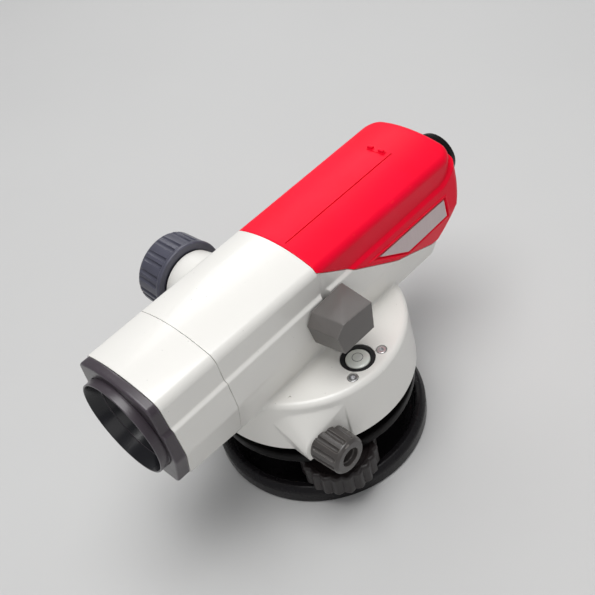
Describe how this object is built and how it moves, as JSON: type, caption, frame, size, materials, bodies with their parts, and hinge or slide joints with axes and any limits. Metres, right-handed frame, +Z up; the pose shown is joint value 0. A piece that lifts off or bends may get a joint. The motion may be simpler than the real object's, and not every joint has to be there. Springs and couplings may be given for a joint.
{
  "type": "automatic level",
  "caption": "Self-levelling surveyor's level: telescope on a round turning head over a base with levelling foot screws, circular vial and prism, focus and tangent knobs.",
  "frame": {"origin": "on the resting plane, under the middle of the instrument's outline; the vertical turning axis stands 5.4 mm from it towards the objective, at y = -0.0054", "axes": "+Y along the line of sight from the objective towards the eyepiece, +Z up along the vertical turning axis, +X towards the circular vial"},
  "size_m": [0.1254, 0.2328, 0.1384],
  "materials": {
    "white_paint": "die-cast alloy with glossy warm white paint",
    "red_cover": "satin saturated red moulded plastic",
    "black_paint": "alloy with semi-gloss black paint",
    "circle_black": "black anodised",
    "foot_knob": "moulded brown-black plastic",
    "steel": "turned, bright",
    "brass": "turned",
    "alloy": "machined, matt",
    "bezel_plastic": "dark plum-grey, semi-matt",
    "black_plastic": "moulded black",
    "knob_plastic": "moulded slate grey",
    "tangent_plastic": "moulded warm dark grey",
    "grey_plastic": "moulded mid grey",
    "plate_metal": "satin, blank",
    "optical_glass": "polished, coated",
    "vial_fluid": "polished, pale green fluid"
  },
  "bodies": {
    "base": {"base_plate": "black_paint"},
    "spring_plate": {"spring_plate": "steel"},
    "foot_screw_right": {"foot_screw_knob_right": "foot_knob", "foot_screw_stud_right": "steel"},
    "foot_screw_left": {"foot_screw_knob_left": "foot_knob", "foot_screw_stud_left": "steel"},
    "foot_screw_rear": {"foot_screw_knob_rear": "foot_knob", "foot_screw_stud_rear": "steel"},
    "tribrach": {"tribrach_plate": "black_paint", "foot_screw_bush_right": "brass", "foot_screw_bush_left": "brass", "foot_screw_bush_rear": "brass", "axis_socket": "brass"},
    "horizontal_circle": {"horizontal_circle": "circle_black"},
    "worm_wheel": {"worm_wheel": "brass"},
    "alidade": {"main_housing": "white_paint", "housing_bottom_plate": "black_paint", "spindle": "steel", "objective_housing": "white_paint", "objective_bezel": "bezel_plastic", "lens_hood": "bezel_plastic", "objective_cell": "black_paint", "objective_lens": "optical_glass", "top_cover": "red_cover", "side_plate": "plate_metal", "open_sight": "black_plastic", "vial_prism_housing": "grey_plastic", "vial_prism": "optical_glass", "vial_holder": "black_plastic", "circular_vial": "vial_fluid", "vial_screw_rear": "steel", "vial_screw_inner": "steel", "vial_screw_front": "steel", "tangent_bush_right": "brass", "tangent_bush_left": "brass", "focus_bush": "brass", "compensator_frame": "alloy", "damper_cup": "brass", "suspension_ribbon_right": "steel", "suspension_ribbon_left": "steel", "roof_prism": "optical_glass", "roof_prism_seat": "alloy", "reticle_ring": "brass", "reticle_glass": "optical_glass", "eyepiece_mount": "black_paint"},
    "tangent_screw": {"tangent_worm_shaft": "steel", "tangent_knob_right": "tangent_plastic", "tangent_knob_left": "tangent_plastic"},
    "focus_drive": {"focus_knob": "knob_plastic", "focus_shaft": "steel", "focus_pinion": "brass"},
    "focus_carriage": {"focus_lens_cell": "black_paint", "focus_lens": "optical_glass", "focus_rack": "brass"},
    "compensator_pendulum": {"compensator_pendulum": "alloy", "pendulum_prism": "optical_glass"},
    "eyepiece_ring": {"eyepiece_ring": "circle_black"},
    "eyepiece_cell": {"eyepiece_cell": "black_paint", "eyepiece_lens": "optical_glass"}
  },
  "joints": [
    {"name": "tilt_across", "type": "hinge", "parent": "base", "child": "spring_plate", "pos_m": [0, -0.0054, 0.0345], "axis": [0.0523, 0.9986, 0], "range_deg": [-1.5, 1.5]},
    {"name": "tilt_along", "type": "hinge", "parent": "spring_plate", "child": "tribrach", "pos_m": [-0.00124, -0.02907, 0.0345], "axis": [0.9986, -0.0523, 0], "range_deg": [-1.5, 1.5]},
    {"name": "foot_screw_right_turn", "type": "hinge", "parent": "base", "child": "foot_screw_right", "pos_m": [0.03975, -0.03122, 0], "axis": [0, 0, 1], "range_deg": [-515, 515]},
    {"name": "foot_screw_left_turn", "type": "hinge", "parent": "base", "child": "foot_screw_left", "pos_m": [-0.04223, -0.02692, 0], "axis": [0, 0, 1], "range_deg": [-515, 515]},
    {"name": "foot_screw_rear_turn", "type": "hinge", "parent": "base", "child": "foot_screw_rear", "pos_m": [0.00248, 0.04194, 0], "axis": [0, 0, 1], "range_deg": [-890, 890]},
    {"name": "circle_turn", "type": "hinge", "parent": "tribrach", "child": "horizontal_circle", "pos_m": [0, -0.0054, 0], "axis": [0, 0, 1], "continuous": true},
    {"name": "coarse_azimuth", "type": "hinge", "parent": "tribrach", "child": "worm_wheel", "pos_m": [0, -0.0054, 0], "axis": [0, 0, 1], "continuous": true},
    {"name": "fine_azimuth", "type": "hinge", "parent": "worm_wheel", "child": "alidade", "pos_m": [0, -0.0054, 0], "axis": [0, 0, 1], "continuous": true},
    {"name": "tangent_turn", "type": "hinge", "parent": "alidade", "child": "tangent_screw", "pos_m": [0, -0.042, 0.0511], "axis": [1, 0, 0], "continuous": true},
    {"name": "focus_turn", "type": "hinge", "parent": "alidade", "child": "focus_drive", "pos_m": [0, -0.0343, 0.1095], "axis": [1, 0, 0], "range_deg": [-360, 360]},
    {"name": "focus_slide", "type": "slide", "parent": "alidade", "child": "focus_carriage", "axis": [0, 1, 0], "range_m": [-0.0158, 0.0158]},
    {"name": "pendulum_swing", "type": "hinge", "parent": "alidade", "child": "compensator_pendulum", "pos_m": [0, 0.0406, 0.1236], "axis": [1, 0, 0], "range_deg": [-0.5, 0.5]},
    {"name": "diopter_turn", "type": "hinge", "parent": "alidade", "child": "eyepiece_ring", "pos_m": [0, 0.1046, 0.1062], "axis": [0, 1, 0], "range_deg": [-150, 150]},
    {"name": "diopter_slide", "type": "slide", "parent": "alidade", "child": "eyepiece_cell", "axis": [0, 1, 0], "range_m": [-0.0016, 0.0016]}
  ],
  "couplings": [
    {"joint": "tilt_across", "follows": "foot_screw_right_turn", "ratio": 0.0029079},
    {"joint": "foot_screw_left_turn", "follows": "foot_screw_right_turn", "ratio": -1},
    {"joint": "tilt_along", "follows": "foot_screw_rear_turn", "ratio": -0.0016788},
    {"joint": "fine_azimuth", "follows": "tangent_turn", "ratio": 0.016667},
    {"joint": "focus_slide", "follows": "focus_turn", "m_per_rad": 0.0025},
    {"joint": "diopter_slide", "follows": "diopter_turn", "m_per_rad": 0.0006}
  ]
}
